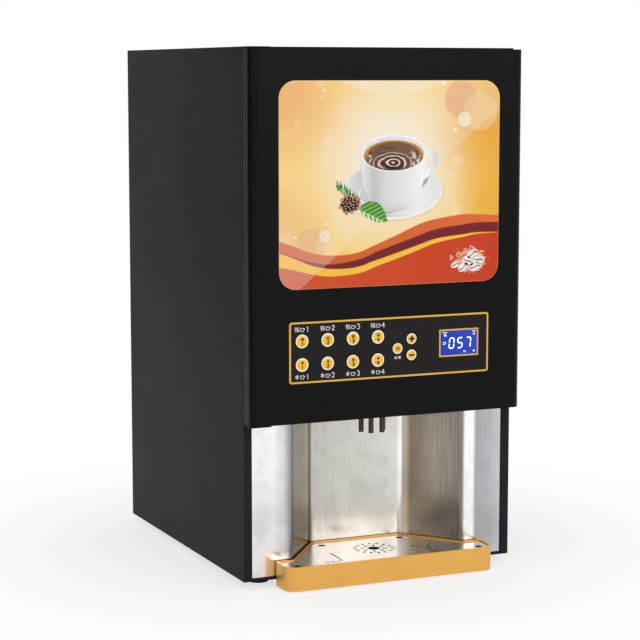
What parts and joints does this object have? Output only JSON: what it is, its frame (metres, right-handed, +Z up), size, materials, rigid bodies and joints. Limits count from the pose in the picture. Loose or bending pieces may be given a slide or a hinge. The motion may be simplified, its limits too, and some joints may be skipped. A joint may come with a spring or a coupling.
{
  "type": "hot coffee vending machine",
  "caption": "Bench-top vending machine for powder drinks: black steel cabinet, hinged door with poster, keys and display, cup alcove with drip tray.",
  "frame": {"origin": "bottom centre of the bounding box, on the surface the machine stands on", "axes": "+Z up; the door and drip tray face -Y; +X is the right of someone facing the door"},
  "size_m": [0.3418, 0.44, 0.608],
  "materials": {
    "black_steel": "satin",
    "bare_steel": "zinc plated",
    "stainless": "satin",
    "gold_plastic": "metallic gloss",
    "poster": "printed, gloss",
    "fascia": "printed, satin",
    "lcd": "blue",
    "key_yellow": "gloss",
    "board": "coated",
    "chrome": "polished",
    "clear_plastic": "clear",
    "white_plastic": "satin",
    "motor_steel": "plated",
    "black_plastic": "matt",
    "tube": "silicone",
    "foam": "foam cover",
    "brass": "turned",
    "rubber": "matt"
  },
  "bodies": {
    "cabinet": {"side_panel_left": "black_steel", "side_panel_right": "black_steel", "top_panel": "black_steel", "rear_panel": "black_steel", "base_pan": "bare_steel", "module_plate": "bare_steel", "alcove_ceiling": "bare_steel", "hinge_brackets": "bare_steel", "screws": "bare_steel", "fan_frame": "bare_steel", "power_supply": "bare_steel", "alcove_liner": "stainless", "boiler": "stainless", "control_board": "board", "lock_housing": "chrome", "powder_canisters": "clear_plastic", "canister_lids": "white_plastic", "canister_spouts": "white_plastic", "mixing_bowls": "white_plastic", "water_valves": "white_plastic", "auger_motors": "motor_steel", "whipper_motors": "motor_steel", "nozzle_holder": "black_plastic", "mains_inlet": "black_plastic", "compressor": "black_plastic", "dispense_tubes": "tube", "cold_tank": "foam", "water_inlet": "brass", "rubber_feet": "rubber"},
    "door": {"door_shell": "black_steel", "door_liner": "bare_steel", "poster_panel": "poster", "key_fascia": "fascia", "display_module": "lcd", "key_board": "board"},
    "tray": {"drip_tray": "gold_plastic"},
    "grid": {"tray_grid": "stainless"},
    "hot_1_key": {"key_hot_1": "key_yellow"},
    "hot_2_key": {"key_hot_2": "key_yellow"},
    "hot_3_key": {"key_hot_3": "key_yellow"},
    "hot_4_key": {"key_hot_4": "key_yellow"},
    "cold_1_key": {"key_cold_1": "key_yellow"},
    "cold_2_key": {"key_cold_2": "key_yellow"},
    "cold_3_key": {"key_cold_3": "key_yellow"},
    "cold_4_key": {"key_cold_4": "key_yellow"},
    "menu_key": {"key_menu": "key_yellow"},
    "plus_key": {"key_plus": "key_yellow"},
    "minus_key": {"key_minus": "key_yellow"},
    "lock": {"lock_plug": "chrome", "lock_cam": "bare_steel"},
    "auger_1_body": {"auger_1": "white_plastic"},
    "auger_2_body": {"auger_2": "white_plastic"},
    "auger_3_body": {"auger_3": "white_plastic"},
    "auger_4_body": {"auger_4": "white_plastic"},
    "whipper_1_body": {"whipper_1": "white_plastic"},
    "whipper_2_body": {"whipper_2": "white_plastic"},
    "whipper_3_body": {"whipper_3": "white_plastic"},
    "whipper_4_body": {"whipper_4": "white_plastic"},
    "fan": {"fan_rotor": "black_plastic"},
    "rocker": {"rocker_key": "black_plastic"}
  },
  "joints": [
    {"name": "door_swing", "type": "hinge", "parent": "cabinet", "child": "door", "pos_m": [-0.165, -0.1975, 0.398], "axis": [0, 0, -1], "range_deg": [0, 115]},
    {"name": "tray_slide", "type": "slide", "parent": "cabinet", "child": "tray", "axis": [0, -1, 0], "range_m": [0, 0.12]},
    {"name": "grid_lift", "type": "slide", "parent": "tray", "child": "grid", "axis": [0, 0, 1], "range_m": [0, 0.06]},
    {"name": "press_hot_1", "type": "slide", "parent": "door", "child": "hot_1_key", "axis": [0, 1, 0], "range_m": [0, 0.0008], "stiffness_N_per_m": 300, "springref_m": -0.001},
    {"name": "press_hot_2", "type": "slide", "parent": "door", "child": "hot_2_key", "axis": [0, 1, 0], "range_m": [0, 0.0008], "stiffness_N_per_m": 300, "springref_m": -0.001},
    {"name": "press_hot_3", "type": "slide", "parent": "door", "child": "hot_3_key", "axis": [0, 1, 0], "range_m": [0, 0.0008], "stiffness_N_per_m": 300, "springref_m": -0.001},
    {"name": "press_hot_4", "type": "slide", "parent": "door", "child": "hot_4_key", "axis": [0, 1, 0], "range_m": [0, 0.0008], "stiffness_N_per_m": 300, "springref_m": -0.001},
    {"name": "press_cold_1", "type": "slide", "parent": "door", "child": "cold_1_key", "axis": [0, 1, 0], "range_m": [0, 0.0008], "stiffness_N_per_m": 300, "springref_m": -0.001},
    {"name": "press_cold_2", "type": "slide", "parent": "door", "child": "cold_2_key", "axis": [0, 1, 0], "range_m": [0, 0.0008], "stiffness_N_per_m": 300, "springref_m": -0.001},
    {"name": "press_cold_3", "type": "slide", "parent": "door", "child": "cold_3_key", "axis": [0, 1, 0], "range_m": [0, 0.0008], "stiffness_N_per_m": 300, "springref_m": -0.001},
    {"name": "press_cold_4", "type": "slide", "parent": "door", "child": "cold_4_key", "axis": [0, 1, 0], "range_m": [0, 0.0008], "stiffness_N_per_m": 300, "springref_m": -0.001},
    {"name": "press_menu", "type": "slide", "parent": "door", "child": "menu_key", "axis": [0, 1, 0], "range_m": [0, 0.0008], "stiffness_N_per_m": 300, "springref_m": -0.001},
    {"name": "press_plus", "type": "slide", "parent": "door", "child": "plus_key", "axis": [0, 1, 0], "range_m": [0, 0.0008], "stiffness_N_per_m": 300, "springref_m": -0.001},
    {"name": "press_minus", "type": "slide", "parent": "door", "child": "minus_key", "axis": [0, 1, 0], "range_m": [0, 0.0008], "stiffness_N_per_m": 300, "springref_m": -0.001},
    {"name": "lock_turn", "type": "hinge", "parent": "cabinet", "child": "lock", "pos_m": [0.15, -0.16, 0.403], "axis": [1, 0, 0], "range_deg": [0, 90]},
    {"name": "auger_1_spin", "type": "hinge", "parent": "cabinet", "child": "auger_1_body", "pos_m": [-0.12, -0.06, 0.4], "axis": [0, -1, 0], "continuous": true},
    {"name": "auger_2_spin", "type": "hinge", "parent": "cabinet", "child": "auger_2_body", "pos_m": [-0.04, -0.06, 0.4], "axis": [0, -1, 0], "continuous": true},
    {"name": "auger_3_spin", "type": "hinge", "parent": "cabinet", "child": "auger_3_body", "pos_m": [0.04, -0.06, 0.4], "axis": [0, -1, 0], "continuous": true},
    {"name": "auger_4_spin", "type": "hinge", "parent": "cabinet", "child": "auger_4_body", "pos_m": [0.12, -0.06, 0.4], "axis": [0, -1, 0], "continuous": true},
    {"name": "whipper_1_spin", "type": "hinge", "parent": "cabinet", "child": "whipper_1_body", "pos_m": [-0.12, -0.13, 0.293], "axis": [0, -1, 0], "continuous": true},
    {"name": "whipper_2_spin", "type": "hinge", "parent": "cabinet", "child": "whipper_2_body", "pos_m": [-0.04, -0.13, 0.293], "axis": [0, -1, 0], "continuous": true},
    {"name": "whipper_3_spin", "type": "hinge", "parent": "cabinet", "child": "whipper_3_body", "pos_m": [0.04, -0.13, 0.293], "axis": [0, -1, 0], "continuous": true},
    {"name": "whipper_4_spin", "type": "hinge", "parent": "cabinet", "child": "whipper_4_body", "pos_m": [0.12, -0.13, 0.293], "axis": [0, -1, 0], "continuous": true},
    {"name": "fan_spin", "type": "hinge", "parent": "cabinet", "child": "fan", "pos_m": [0.095, 0.193, 0.088], "axis": [0, 1, 0], "continuous": true},
    {"name": "power_rocker", "type": "hinge", "parent": "cabinet", "child": "rocker", "pos_m": [-0.12, 0.203, 0.081], "axis": [1, 0, 0], "range_deg": [0, 16]}
  ]
}
